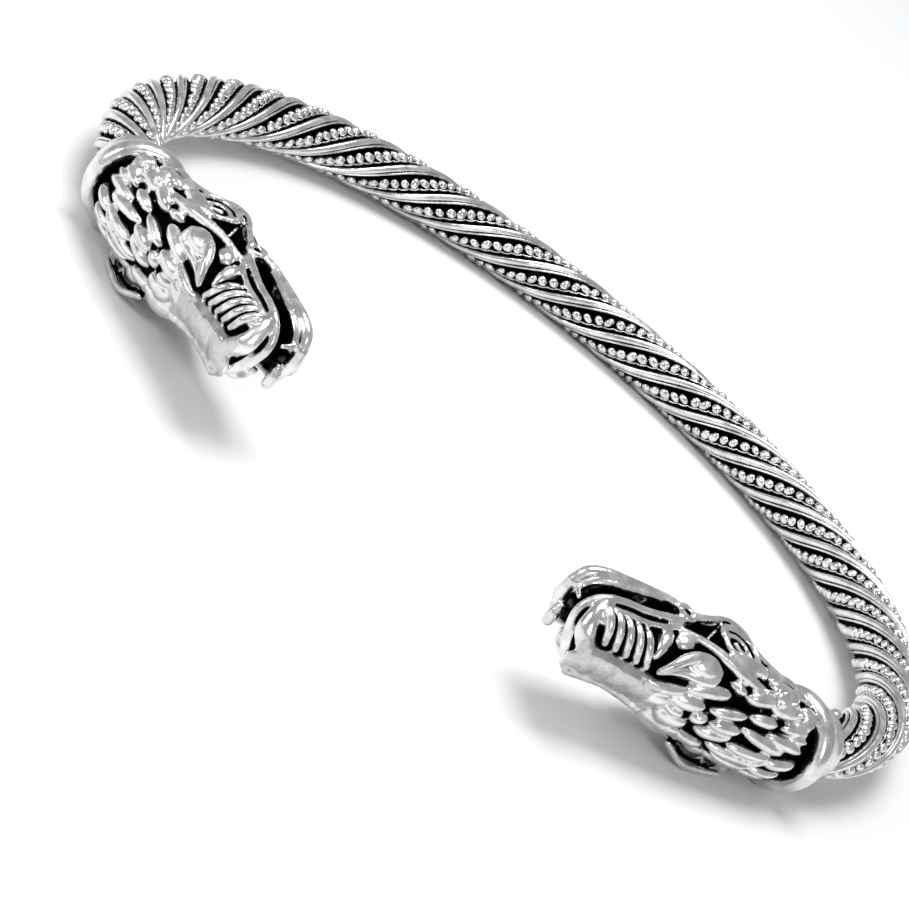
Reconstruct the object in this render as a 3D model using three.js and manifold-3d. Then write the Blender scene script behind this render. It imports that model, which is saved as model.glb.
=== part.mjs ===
import * as THREE from "three";
import Module from "manifold-3d";

const wasm = await Module();
wasm.setup();

// Driving dimensions in mm, angles in degrees
const ROD_DIAMETER = 5.2; // over the crests of the twisted strands
const GROOVE_DEPTH = 0.62; // from a strand's crest to the groove beside it
const STRAND_PAIRS = 5; // one plain strand and one beaded strand in each pair
const TWIST_LEAD = 28.85; // rod length of one full turn of a strand
const TWIST_START = 16.3; // turn of the first strand from outward, at the back
const PLAIN_SHARE = 0.56; // share of a pair's pitch that the plain strand takes
const ROD_HALF_LENGTH = 73.6; // along the centre line, from the back to a collar
const ROD_RINGS = 60; // cross sections along the rod
const JOINT_GAP = 0.3; // between one piece and the next

const COLLAR_LENGTH = 3.7;
const COLLAR_BASE_RADIUS = 2.78;
const COLLAR_RIM_RADIUS = 3.92;
const COLLAR_WALL = 0.55; // thickness of the cup at its rim
const COLLAR_CUP_DEPTH = 1.9; // from the rim down to the cup's floor

const HEAD_HEADING = 136; // turn of a head's axis from the tangent at the back
const HEAD_PITCH = 7; // rise of the snout out of the ring's plane
const HEAD_ROLL = 12; // turn of the crown from outward towards the floor
const HEAD_UNIT = 5.2; // one unit of the head tables, the rod's diameter

const deg = THREE.MathUtils.degToRad;
const Z = new THREE.Vector3(0, 0, 1);

// Bend radius of the centre line at shares of the half length, as the shape departs from a circle
const BEND = [
  // share of half length, radius in mm
  [0.0, 43.4],
  [0.21, 39.0],
  [0.42, 30.3],
  [0.56, 35.2],
  [0.7, 37.0],
  [0.84, 31.5],
  [0.98, 26.2],
  [1.1, 21.5],
];

function lerpTable(table, t) {
  let i = 0;
  while (i < table.length - 2 && t > table[i + 1][0]) i++;
  const [a, va] = table[i];
  const [b, vb] = table[i + 1];
  return va + ((vb - va) * (t - a)) / (b - a);
}

// Centre line of one half: point, and angle turned since the back, for each step
function centreLine(length, steps) {
  const line = [{ s: 0, x: 0, y: 0, turn: 0 }];
  const ds = length / steps;
  for (let i = 1; i <= steps; i++) {
    const last = line[i - 1];
    const s = i * ds;
    const turn = last.turn + ds / lerpTable(BEND, (s - ds / 2) / ROD_HALF_LENGTH);
    const mid = (turn + last.turn) / 2;
    line.push({ s, x: last.x + ds * Math.cos(mid), y: last.y - ds * Math.sin(mid), turn });
  }
  return line;
}

const HALF = centreLine(ROD_HALF_LENGTH, 400);

// Point, tangent and outward normal at a signed length from the back, plus towards +X
function along(s) {
  const side = Math.sign(s) || 1;
  const k = (Math.abs(s) / ROD_HALF_LENGTH) * (HALF.length - 1);
  const i = Math.min(HALF.length - 2, Math.floor(k));
  const f = k - i;
  const mix = (key) => HALF[i][key] * (1 - f) + HALF[i + 1][key] * f;
  const turn = mix("turn");
  return {
    at: new THREE.Vector3(side * mix("x"), mix("y"), 0),
    tangent: new THREE.Vector3(Math.cos(turn), -side * Math.sin(turn), 0),
    out: new THREE.Vector3(side * Math.sin(turn), Math.cos(turn), 0),
  };
}

// A closed skin over rings of points, each ring with the same count, capped at both ends
function loft(rings) {
  const n = rings[0].length;
  const points = rings.flat();
  const index = [];
  for (let r = 0; r < rings.length - 1; r++) {
    for (let i = 0; i < n; i++) {
      const a = r * n + i;
      const b = r * n + ((i + 1) % n);
      index.push(a, b, b + n, a, b + n, a + n);
    }
  }
  [0, rings.length - 1].forEach((r) => {
    const middle = new THREE.Vector3();
    rings[r].forEach((p) => middle.addScaledVector(p, 1 / n));
    points.push(middle);
    for (let i = 0; i < n; i++) {
      const a = r * n + i;
      const b = r * n + ((i + 1) % n);
      if (r) index.push(points.length - 1, a, b);
      else index.push(points.length - 1, b, a);
    }
  });
  const geometry = new THREE.BufferGeometry().setFromPoints(points);
  geometry.setIndex(index);
  return faceOut(geometry);
}

// Turns a closed geometry's faces outward
function faceOut(geometry) {
  const p = geometry.getAttribute("position");
  const index = geometry.index.array;
  const [a, b, c] = [new THREE.Vector3(), new THREE.Vector3(), new THREE.Vector3()];
  let volume = 0;
  for (let i = 0; i < index.length; i += 3) {
    a.fromBufferAttribute(p, index[i]);
    b.fromBufferAttribute(p, index[i + 1]);
    c.fromBufferAttribute(p, index[i + 2]);
    volume += a.dot(b.cross(c));
  }
  if (volume < 0) {
    for (let i = 0; i < index.length; i += 3) [index[i + 1], index[i + 2]] = [index[i + 2], index[i + 1]];
  }
  return geometry;
}

// A band along a path: each stop is [x, y, z, half width, half thickness]
function band(stops, sides, across) {
  const path = stops.map((s) => new THREE.Vector3(s[0], s[1], s[2]));
  const rings = path.map((at, i) => {
    const before = path[Math.max(0, i - 1)];
    const after = path[Math.min(path.length - 1, i + 1)];
    const tangent = after.clone().sub(before).normalize();
    const wide = across.clone().cross(tangent).normalize();
    const thick = tangent.clone().cross(wide).normalize();
    const ring = [];
    for (let k = 0; k < sides; k++) {
      const angle = (2 * Math.PI * (k + 0.5)) / sides;
      ring.push(
        at
          .clone()
          .addScaledVector(wide, stops[i][3] * Math.cos(angle))
          .addScaledVector(thick, stops[i][4] * Math.sin(angle)),
      );
    }
    return ring;
  });
  return loft(rings);
}

// An egg-shaped swell turned to lie along a direction
function swell(at, direction, up, half, segments = [6, 4]) {
  const x = direction.clone().normalize();
  const z = x.clone().cross(up).normalize();
  const y = z.clone().cross(x);
  const basis = new THREE.Matrix4().makeBasis(x, y, z).setPosition(at);
  return new THREE.SphereGeometry(1, ...segments)
    .rotateZ(Math.PI / 2)
    .scale(...half)
    .applyMatrix4(basis);
}

function toManifold(geometry) {
  const bare = new THREE.BufferGeometry();
  bare.setAttribute("position", geometry.getAttribute("position").clone());
  bare.setIndex(geometry.index.clone());
  const merged = mergeClose(bare);
  return new wasm.Manifold(
    new wasm.Mesh({
      numProp: 3,
      vertProperties: merged.points,
      triVerts: merged.index,
    }),
  );
}

// Points closer than a micron become one, and faces that collapse go
function mergeClose(geometry) {
  const p = geometry.getAttribute("position");
  const seen = new Map();
  const points = [];
  const map = [];
  for (let i = 0; i < p.count; i++) {
    const at = [p.getX(i), p.getY(i), p.getZ(i)];
    const key = at.map((v) => Math.round(v * 1000)).join();
    if (!seen.has(key)) {
      seen.set(key, seen.size);
      points.push(...at);
    }
    map.push(seen.get(key));
  }
  const index = [];
  const g = geometry.index.array;
  for (let i = 0; i < g.length; i += 3) {
    const [a, b, c] = [map[g[i]], map[g[i + 1]], map[g[i + 2]]];
    if (a !== b && b !== c && a !== c) index.push(a, b, c);
  }
  return { points: new Float32Array(points), index: new Uint32Array(index) };
}

function toGeometry(solid) {
  const mesh = solid.getMesh();
  const geometry = new THREE.BufferGeometry();
  geometry.setAttribute("position", new THREE.BufferAttribute(mesh.vertProperties, 3));
  geometry.setIndex(new THREE.BufferAttribute(mesh.triVerts, 1));
  return geometry;
}

const metal = new THREE.MeshStandardMaterial({ color: 0xb9b7b2, metalness: 1, roughness: 0.35 });
const ring = new THREE.Group();

function addMesh(name, geometry) {
  geometry.computeVertexNormals();
  const mesh = new THREE.Mesh(geometry, metal);
  mesh.name = name;
  ring.add(mesh);
  return mesh;
}

// Twisted hoop
// A strand pair's cross section: share of the pair's pitch, and share of the groove depth
const PAIR_SECTION = [
  [0.0, 1.0],
  [0.14 * PLAIN_SHARE, 0.22],
  [0.5 * PLAIN_SHARE, 0.0],
  [0.86 * PLAIN_SHARE, 0.22],
  [PLAIN_SHARE, 1.0],
  [PLAIN_SHARE + 0.28 * (1 - PLAIN_SHARE), 0.1],
  [PLAIN_SHARE + 0.72 * (1 - PLAIN_SHARE), 0.1],
];

function hoopRings() {
  const rings = [];
  for (let r = 0; r <= ROD_RINGS; r++) {
    const s = ROD_HALF_LENGTH * ((2 * r) / ROD_RINGS - 1);
    const { at, out } = along(s);
    const twist = deg(TWIST_START) - (2 * Math.PI * s) / TWIST_LEAD;
    const section = [];
    for (let pair = 0; pair < STRAND_PAIRS; pair++) {
      PAIR_SECTION.forEach(([share, depth]) => {
        const angle = twist + (2 * Math.PI * (pair + share)) / STRAND_PAIRS;
        const radius = ROD_DIAMETER / 2 - GROOVE_DEPTH * depth;
        section.push(
          at
            .clone()
            .addScaledVector(out, radius * Math.cos(angle))
            .addScaledVector(Z, radius * Math.sin(angle)),
        );
      });
    }
    rings.push(section);
  }
  return rings;
}

addMesh("twisted_hoop", loft(hoopRings()));

// Collars
// The cup's outline: share of the collar's length, and share of the way from base to rim radius
const CUP_OUTLINE = [
  [0.0, 0.0],
  [0.22, 0.1],
  [0.42, 0.3],
  [0.6, 0.62],
  [0.76, 0.9],
  [0.9, 1.0],
  [1.0, 0.94],
];

function collarProfile() {
  const grow = COLLAR_RIM_RADIUS - COLLAR_BASE_RADIUS;
  const profile = [new THREE.Vector2(0, 0)];
  CUP_OUTLINE.forEach(([t, share]) => {
    profile.push(new THREE.Vector2(COLLAR_BASE_RADIUS + grow * share, COLLAR_LENGTH * t));
  });
  const inner = COLLAR_RIM_RADIUS - COLLAR_WALL;
  profile.push(new THREE.Vector2(inner, COLLAR_LENGTH * 0.97));
  profile.push(new THREE.Vector2(inner - 0.14, COLLAR_LENGTH - COLLAR_CUP_DEPTH));
  profile.push(new THREE.Vector2(0, COLLAR_LENGTH - COLLAR_CUP_DEPTH));
  return profile;
}

const END = along(ROD_HALF_LENGTH);
const COLLAR_BASE = END.at.clone().addScaledVector(END.tangent, JOINT_GAP);
const RIM_CENTRE = COLLAR_BASE.clone().addScaledVector(END.tangent, COLLAR_LENGTH);

function collarGeometry() {
  const lathe = new THREE.LatheGeometry(collarProfile(), 24);
  const basis = new THREE.Matrix4().makeBasis(END.out, END.tangent, Z.clone().negate());
  basis.setPosition(COLLAR_BASE);
  return toGeometry(toManifold(faceOut(lathe.applyMatrix4(basis))));
}

// Heads, in their own axes: x forward to the snout, y up through the crown, z to the upper side
const heading = deg(HEAD_HEADING);
const pitch = deg(HEAD_PITCH);
const forward = new THREE.Vector3(
  Math.cos(heading) * Math.cos(pitch),
  -Math.sin(heading) * Math.cos(pitch),
  Math.sin(pitch),
);
const level = new THREE.Vector3(Math.sin(heading), Math.cos(heading), 0);
const upright = forward.clone().cross(level);
upright.multiplyScalar(Math.sign(upright.z));
const roll = deg(HEAD_ROLL);
const crown = level
  .clone()
  .multiplyScalar(Math.cos(roll))
  .addScaledVector(upright, -Math.sin(roll));
const flank = upright
  .clone()
  .multiplyScalar(Math.cos(roll))
  .addScaledVector(level, Math.sin(roll));

// Neck and skull: x, middle height, half width, half height, corner power
const SKULL = [
  [-0.22, 0.0, 0.5, 0.5, 2.0],
  [0.02, 0.0, 0.55, 0.55, 2.0],
  [0.3, 0.01, 0.6, 0.6, 2.1],
  [0.8, 0.03, 0.63, 0.62, 2.1],
  [1.3, 0.04, 0.64, 0.61, 2.2],
  [1.8, 0.05, 0.62, 0.58, 2.3],
  [2.3, 0.08, 0.57, 0.51, 2.3],
  [2.75, 0.14, 0.48, 0.4, 2.3],
  [3.2, 0.19, 0.4, 0.31, 2.3],
  [3.65, 0.21, 0.36, 0.27, 2.3],
  [4.0, 0.22, 0.37, 0.27, 2.3],
  [4.25, 0.22, 0.38, 0.26, 2.4],
  [4.42, 0.2, 0.3, 0.19, 2.2],
];

function skullGeometry() {
  const sides = 16;
  return loft(
    SKULL.map(([x, y, wide, high, power]) => {
      const section = [];
      for (let i = 0; i < sides; i++) {
        const angle = (2 * Math.PI * i) / sides;
        const c = Math.cos(angle);
        const s = Math.sin(angle);
        const bulge = (v) => Math.sign(v) * Math.abs(v) ** (2 / power);
        section.push(new THREE.Vector3(x, y + high * bulge(s), wide * bulge(c)));
      }
      return section;
    }),
  );
}

// Point on the skull and the way out of it, at an angle from the crown towards the upper side
function onSkull(x, angle) {
  const column = (k) => lerpTable(SKULL.map((row) => [row[0], row[k]]), x);
  const y = column(3) * Math.cos(angle);
  const z = column(2) * Math.sin(angle);
  const out = new THREE.Vector3(0, Math.cos(angle) / column(3), Math.sin(angle) / column(2));
  return { at: new THREE.Vector3(x, column(1) + y, z), out: out.normalize() };
}

// Rows of tufts round the neck: x, half length, half width, angles from the crown
const TUFT_ROWS = [
  [0.42, 0.3, 0.105, [-100, -64, -30, 0, 30, 64, 100]],
  [1.0, 0.32, 0.11, [-82, -46, -15, 15, 46, 82]],
  [1.58, 0.3, 0.105, [-62, -30, 0, 30, 62]],
  [2.12, 0.27, 0.095, [-44, -15, 15, 44]],
  [2.58, 0.24, 0.085, [-22, 22]],
];

function tuftGeometries() {
  return TUFT_ROWS.flatMap(([x, long, wide, angles]) =>
    angles.map((angle) => {
      const { at, out } = onSkull(x, deg(angle));
      return swell(at, new THREE.Vector3(1, -0.05, 0), out, [long, 0.1, wide]);
    }),
  );
}

const RIB_COUNT = 6; // curved ribs on each flank of the muzzle

// Pieces of one flank, given for the upper side and mirrored for the lower one
function flankGeometries() {
  const side = [];
  const v = (x, y, z) => new THREE.Vector3(x, y, z);
  // brow and eye, cheek patch, strap
  side.push(swell(v(2.6, 0.3, 0.42), v(1, 0.02, -0.22), v(0, 0.7, 0.7), [0.48, 0.14, 0.15], [8, 5]));
  side.push(swell(v(0.85, -0.1, 0.6), v(1, 0, 0), v(0, 0, 1), [0.5, 0.13, 0.24]));
  side.push(swell(v(1.55, 0.1, 0.62), v(1, 0.16, 0), v(0, 0.2, 1), [0.5, 0.12, 0.08]));
  // two knobs behind the ribs
  side.push(swell(v(2.98, 0.18, 0.47), v(1, 0, 0), v(0, 0, 1), [0.09, 0.1, 0.09]));
  side.push(swell(v(2.82, 0.02, 0.54), v(1, 0, 0), v(0, 0, 1), [0.1, 0.1, 0.1]));
  // ribs of the muzzle
  for (let i = 0; i < RIB_COUNT; i++) {
    const { at, out } = onSkull(3.3 + 0.14 * i, deg(56));
    side.push(swell(at, v(0.12, -out.z, out.y), out, [0.27, 0.06, 0.055]));
  }
  // nostril bulb
  side.push(swell(v(4.18, 0.3, 0.3), v(1, -0.1, -0.25), v(0, 0.5, 1), [0.24, 0.16, 0.18], [8, 5]));
  // spiral curl behind the hinge
  const curl = [];
  for (let i = 0; i <= 9; i++) {
    const angle = deg(-150 + 48 * i);
    const radius = 0.27 - 0.0195 * i;
    curl.push([1.84 + radius * Math.cos(angle), -0.24 + radius * Math.sin(angle), 0.72, 0.055, 0.1]);
  }
  side.push(band(curl, 4, v(0, 0, 1)));
  side.push(swell(v(1.84, -0.24, 0.62), v(1, 0, 0), v(0, 0, 1), [0.26, 0.12, 0.26]));
  // edge band from the curl to the hinge
  side.push(
    band(
      [
        [1.7, -0.5, 0.62, 0.06, 0.1],
        [2.1, -0.52, 0.6, 0.055, 0.1],
        [2.5, -0.42, 0.62, 0.055, 0.1],
        [2.85, -0.3, 0.62, 0.06, 0.1],
      ],
      4,
      v(0, 0, 1),
    ),
  );
  side.push(swell(v(2.45, -0.26, 0.5), v(1, 0.1, 0), v(0, 0, 1), [0.5, 0.1, 0.14]));
  return side;
}

// Upper lip from the hinge round the snout, and the lower jaw below it: x, y, z and two half sizes
const LIP = [
  [2.75, -0.16, 0.58, 0.07, 0.08],
  [3.2, -0.12, 0.5, 0.06, 0.08],
  [3.7, -0.1, 0.44, 0.06, 0.08],
  [4.15, -0.06, 0.4, 0.065, 0.09],
  [4.4, 0.0, 0.32, 0.07, 0.1],
  [4.5, 0.05, 0.12, 0.075, 0.11],
];
const JAW = [
  [2.72, -0.34, 0.6, 0.085, 0.08],
  [2.95, -0.4, 0.6, 0.08, 0.085],
  [3.4, -0.44, 0.5, 0.07, 0.085],
  [3.85, -0.5, 0.41, 0.07, 0.085],
  [4.2, -0.55, 0.36, 0.075, 0.085],
  [4.42, -0.57, 0.25, 0.08, 0.085],
  [4.5, -0.57, 0.08, 0.08, 0.085],
];

function mirrored(stops) {
  const far = stops.map(([x, y, z, a, b]) => [x, y, -z, a, b]).reverse();
  return [...stops, ...far];
}

function jawGeometries() {
  const up = new THREE.Vector3(0, 1, 0);
  const made = [band(mirrored(LIP), 5, up), band(mirrored(JAW), 6, up)];
  const v = (x, y, z) => new THREE.Vector3(x, y, z);
  [1, -1].forEach((s) => {
    // fang at the jaw's front corner
    made.push(
      band(
        [
          [4.32, -0.58, 0.3 * s, 0.07, 0.07],
          [4.41, -0.4, 0.34 * s, 0.055, 0.06],
          [4.4, -0.2, 0.38 * s, 0.03, 0.03],
        ],
        4,
        v(1, 0, 0),
      ),
    );
    // hinge block joins the jaw to the cheek
    made.push(swell(v(2.72, -0.28, 0.52 * s), v(1, 0, 0), v(0, 0, 1), [0.2, 0.14, 0.16]));
  });
  // throat: the floor behind the mouth gap
  made.push(swell(v(2.85, -0.3, 0), v(1, 0.1, 0), v(0, 1, 0), [0.55, 0.2, 0.52], [8, 5]));
  return made;
}

const MERGE_SHARE = 0.014; // facets flatter than this share of the head unit are merged

function headGeometry() {
  const flip = new THREE.Matrix4().makeScale(1, 1, -1);
  const upper = flankGeometries();
  const lower = flankGeometries().map((g) => faceOut(g.applyMatrix4(flip)));
  const pieces = [skullGeometry(), ...tuftGeometries(), ...upper, ...lower, ...jawGeometries()];
  const solid = wasm.Manifold.union(pieces.map(toManifold)).simplify(MERGE_SHARE);
  const whole = solid.decompose().sort((a, b) => b.volume() - a.volume())[0];
  const basis = new THREE.Matrix4().makeBasis(forward, crown, flank);
  basis.setPosition(RIM_CENTRE);
  const size = new THREE.Matrix4().makeScale(HEAD_UNIT, HEAD_UNIT, HEAD_UNIT);
  return faceOut(toGeometry(whole).applyMatrix4(basis.multiply(size)));
}

[
  ["right", 1],
  ["left", -1],
].forEach(([side, sign]) => {
  addMesh(side + "_collar", collarGeometry()).scale.x = sign;
  addMesh(side + "_dragon_head", headGeometry()).scale.x = sign;
});

// At rest on its side: tilted until the back of the rod and the collars both touch the ground
function lowest(test) {
  let low = Infinity;
  let where = 0;
  const p = new THREE.Vector3();
  ring.updateMatrixWorld(true);
  ring.traverse((o) => {
    if (!o.isMesh) return;
    const position = o.geometry.getAttribute("position");
    for (let i = 0; i < position.count; i++) {
      p.fromBufferAttribute(position, i).applyMatrix4(o.matrixWorld);
      if (test(p) && p.z < low) {
        low = p.z;
        where = p.y;
      }
    }
  });
  return { low, where };
}

const HALF_DEPTH = -36;
for (let pass = 0; pass < 4; pass++) {
  const back = lowest((p) => p.y > HALF_DEPTH);
  const front = lowest((p) => p.y <= HALF_DEPTH);
  ring.rotation.x += Math.atan2(back.low - front.low, back.where - front.where) * -1;
}
ring.updateMatrixWorld(true);
const box = new THREE.Box3().setFromObject(ring, true);
const centre = box.getCenter(new THREE.Vector3());
ring.position.set(-centre.x, -centre.y, -box.min.z);

const root = new THREE.Group();
root.add(ring);

export default root;
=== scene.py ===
# %% [markdown]
# # A cast arm ring with two dragon heads
# The ring is one open hoop of antiqued, silver-coloured metal. Its rod is twisted from
# plain and beaded strands, and each end carries a smooth cup and a dragon's head.
# The lesson rebuilds it piece by piece over a plain solid model, which gives the sizes.

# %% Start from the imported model
import math

import bpy
import numpy as np
from mathutils import Matrix, Vector
from mathutils.bvhtree import BVHTree


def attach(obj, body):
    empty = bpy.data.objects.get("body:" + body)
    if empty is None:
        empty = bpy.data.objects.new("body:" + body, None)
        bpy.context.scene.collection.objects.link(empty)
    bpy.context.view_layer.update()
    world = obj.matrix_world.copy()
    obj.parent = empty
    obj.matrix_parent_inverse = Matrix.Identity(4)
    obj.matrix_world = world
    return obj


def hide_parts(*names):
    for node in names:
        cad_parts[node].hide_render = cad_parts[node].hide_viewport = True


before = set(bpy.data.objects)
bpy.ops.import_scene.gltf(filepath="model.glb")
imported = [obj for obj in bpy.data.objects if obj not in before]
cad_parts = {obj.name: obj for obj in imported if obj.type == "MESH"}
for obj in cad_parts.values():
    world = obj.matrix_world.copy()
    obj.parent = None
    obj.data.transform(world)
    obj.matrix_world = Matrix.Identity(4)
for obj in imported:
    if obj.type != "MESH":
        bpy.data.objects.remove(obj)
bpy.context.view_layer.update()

print("nodes:", sorted(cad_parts))

# %% [markdown]
# ## Working habits
# An operator acts on everything that is selected, so each step starts with nothing
# selected. Numbers are in millimetres, because that is how a jeweller measures, and
# they become metres only where a mesh is finished.

# %% Small helpers
MM = 0.001


def nothing_selected():
    if bpy.context.object and bpy.context.object.mode != "OBJECT":
        bpy.ops.object.mode_set(mode="OBJECT")
    bpy.ops.object.select_all(action="DESELECT")


def pick(objects):
    """Only these objects are selected, and the first is active."""
    nothing_selected()
    for item in objects:
        item.select_set(True)
    bpy.context.view_layer.objects.active = objects[0]
    return objects[0]


def joined(objects, name):
    whole = pick(objects)
    bpy.ops.object.join()
    whole.name = whole.data.name = name
    return whole


def finish_modifier(piece, kind, **settings):
    """Adds a modifier with these settings and applies it."""
    pick([piece])
    modifier = piece.modifiers.new(kind.title(), kind)
    for key, value in settings.items():
        setattr(modifier, key, value)
    bpy.ops.object.modifier_apply(modifier=modifier.name)


def corners(mesh):
    """The mesh's points as an array of rows."""
    flat = np.empty(len(mesh.vertices) * 3)
    mesh.vertices.foreach_get("co", flat)
    return flat.reshape(-1, 3)


def move_corners(mesh, points):
    mesh.vertices.foreach_set("co", np.ascontiguousarray(points, dtype=np.float64).ravel())
    mesh.update()


def mesh_from(name, points, faces):
    """A new object from arrays of points and faces."""
    mesh = bpy.data.meshes.new(name)
    mesh.from_pydata(points.tolist(), [], faces)
    mesh.update()
    piece = bpy.data.objects.new(name, mesh)
    bpy.context.collection.objects.link(piece)
    return piece


def surface_tree(mesh):
    """A search tree of the mesh's faces, for rays and nearest points."""
    return BVHTree.FromPolygons(corners(mesh).tolist(), [list(face.vertices) for face in mesh.polygons])


def write_attribute(mesh, name, values):
    """One number per point, which the finish reads later."""
    layer = mesh.attributes.new(name, "FLOAT", "POINT")
    layer.data.foreach_set("value", np.asarray(values, dtype=np.float32))


print("helpers ready")

# %% [markdown]
# ## The line of the hoop
# The hoop is nearly round, a little tighter near its ends. A table gives the bend
# radius along one half. Adding up small steps turns that into a centre line, which is
# simpler to adjust than a drawn curve, and keeps the strands' lengths true.

# %% Centre line of the rod
ROD_HALF_LENGTH = 73.6
ROD_THICKNESS = 5.2
BEND = np.array([
    # share of the half length, radius in mm
    (0.0, 43.4), (0.21, 39.0), (0.42, 30.3), (0.56, 35.2),
    (0.7, 37.0), (0.84, 31.5), (0.98, 26.2), (1.1, 21.5),
])
STEPS = 400

step = ROD_HALF_LENGTH / STEPS
middles = (np.arange(STEPS) + 0.5) * step / ROD_HALF_LENGTH
turns = np.concatenate([[0], np.cumsum(step / np.interp(middles, BEND[:, 0], BEND[:, 1]))])
halfway = (turns[1:] + turns[:-1]) / 2
line_x = np.concatenate([[0], np.cumsum(step * np.cos(halfway))])
line_y = np.concatenate([[0], np.cumsum(-step * np.sin(halfway))])
line_s = np.arange(STEPS + 1) * step


def along(s):
    """Centre, tangent and outward direction at signed lengths from the hoop's back."""
    s = np.asarray(s, dtype=float)
    side = np.where(s < 0, -1.0, 1.0)
    turn = np.interp(np.abs(s), line_s, turns)
    zero = np.zeros_like(s)
    across = side * np.interp(np.abs(s), line_s, line_x)
    at = np.stack([across, np.interp(np.abs(s), line_s, line_y), zero], -1)
    tangent = np.stack([np.cos(turn), -side * np.sin(turn), zero], -1)
    out = np.stack([side * np.sin(turn), np.cos(turn), zero], -1)
    return at, tangent, out


print("hoop is", round(float(2 * line_x.max() + ROD_THICKNESS), 1), "mm wide over the rod")

# %% [markdown]
# ## How it lies
# On the floor the ring rests on its two cups and on the back of the hoop. Cups are
# thicker than the rod, so the hoop leans back by little more than a degree.

# %% Place on the floor
LEAN = math.radians(-1.41563)
FLOOR_SHIFT = np.array([0.0, 34.37001, 3.43609])
lean_matrix = np.array(Matrix.Rotation(LEAN, 3, "X"))


def placed(points):
    """Points of the flat ring, in mm, set down on the floor, in metres."""
    return (np.asarray(points) + FLOOR_SHIFT) @ lean_matrix.T * MM


def bent(points):
    """Points of the straight rod, laid round the hoop and set down."""
    at, tangent, out = along(points[:, 0])
    up = np.array([0.0, 0.0, 1.0])
    return placed(at + out * points[:, 1:2] + up * points[:, 2:3])


print("back of the hoop sits at", np.round(placed([[0, 0, 0]])[0], 4))

# %% [markdown]
# ## Twisted strands
# A strand of the rod is a wire wound round a core. The easy way is to make it straight:
# draw the wire's cross section once, then let a Screw modifier wind it along the rod.
# The straight strand is then bent round the hoop by moving its points.

# %% Sizes of the strands
CREST_RADIUS = ROD_THICKNESS / 2
CORE_RADIUS = 1.93
TWIST_LEAD = 28.85
TWIST_START = 16.3
STRAND_PAIRS = 5
WINDING_STEPS = 440
TWIST_RADIUS = 2.35
# Where each kind of strand lies within its pair, as a share of the pair
PLAIN_SHARE = 0.27
EDGE_SHARE = 0.455
BEAD_SHARE = 0.815
# Half width and half height of each wire's section
PLAIN_HALF = (0.3, 0.36)
EDGE_HALF = (0.11, 0.2)
PLAIN_DENT = 0.07
EDGE_RADIUS = 2.22
# The blackening ends between these two radii
BLACK_RADIUS = 2.05
BRIGHT_RADIUS = 2.42
helix_angle = math.atan(2 * math.pi * TWIST_RADIUS / TWIST_LEAD)
full_turn = -2 * math.pi * 2 * ROD_HALF_LENGTH / TWIST_LEAD


def strand_angle(share, s):
    """Angle round the rod, from outward towards up, of a strand at a share of its pair."""
    return math.radians(TWIST_START) + 2 * math.pi * (share / STRAND_PAIRS - s / TWIST_LEAD)


print("strands lean", round(math.degrees(helix_angle), 1), "degrees")


# %% A wound wire
def wound_wire(name, share, radius, half, sides, dent=0.0):
    """A wire of elliptical section wound along the straight rod. dent lowers the middle of its top."""
    half_wide, half_high = half
    angle = strand_angle(share, -ROD_HALF_LENGTH)
    nothing_selected()
    bpy.ops.mesh.primitive_circle_add(vertices=sides, radius=1.0, fill_type="NOTHING",
                                      rotation=(0, math.pi / 2, 0))
    wire = bpy.context.object
    wire.name = name
    bpy.ops.object.transform_apply(location=False, rotation=True, scale=True)
    section = corners(wire.data)
    height, width = section[:, 2].copy(), section[:, 1].copy()
    top = np.clip(height, 0, 1) ** 2 * (1 - np.abs(width)) ** 2
    height = height * half_high - dent * top
    across = width * half_wide
    # The section stands square to the wire, which runs at the helix angle
    radial = radius + height
    turn = angle + across * math.cos(helix_angle) / radius
    x = -ROD_HALF_LENGTH + across * math.sin(helix_angle)
    start = np.stack([x, radial * np.cos(turn), radial * np.sin(turn)], -1)
    move_corners(wire.data, start)
    finish_modifier(wire, "SCREW", angle=full_turn, screw_offset=2 * ROD_HALF_LENGTH, axis="X",
                    steps=WINDING_STEPS, render_steps=WINDING_STEPS, use_merge_vertices=False,
                    use_normal_calculate=True)
    pick([wire])
    bpy.ops.object.mode_set(mode="EDIT")
    bpy.ops.mesh.select_all(action="SELECT")
    bpy.ops.mesh.remove_doubles(threshold=1e-5)
    bpy.ops.mesh.select_all(action="DESELECT")
    bpy.ops.mesh.select_mode(type="EDGE")
    bpy.ops.mesh.select_non_manifold(extend=False)
    bpy.ops.mesh.edge_face_add()
    bpy.ops.mesh.select_all(action="SELECT")
    bpy.ops.mesh.normals_make_consistent(inside=False)
    bpy.ops.mesh.select_mode(type="VERT")
    bpy.ops.object.mode_set(mode="OBJECT")
    return wire


def relief_by_radius(straight):
    """1 on the strands' crests and 0 down at the core."""
    radius = np.hypot(straight[:, 1], straight[:, 2])
    return np.clip((radius - BLACK_RADIUS) / (BRIGHT_RADIUS - BLACK_RADIUS), 0, 1)


def set_round_hoop(piece):
    straight = corners(piece.data)
    straight[:, 0] = np.clip(straight[:, 0], -ROD_HALF_LENGTH, ROD_HALF_LENGTH)
    write_attribute(piece.data, "relief", relief_by_radius(straight))
    move_corners(piece.data, bent(straight))


hoop_pieces = []
for pair in range(STRAND_PAIRS):
    plain = wound_wire(f"plain_strand_{pair + 1}", pair + PLAIN_SHARE, CREST_RADIUS - PLAIN_HALF[1],
                       PLAIN_HALF, sides=14, dent=PLAIN_DENT)
    edge = wound_wire(f"thin_strand_{pair + 1}", pair + EDGE_SHARE, EDGE_RADIUS, EDGE_HALF, sides=8)
    for wire in (plain, edge):
        set_round_hoop(wire)
        hoop_pieces.append(wire)
print("wound wires:", len(hoop_pieces), "faces each about", len(hoop_pieces[0].data.polygons))

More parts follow.
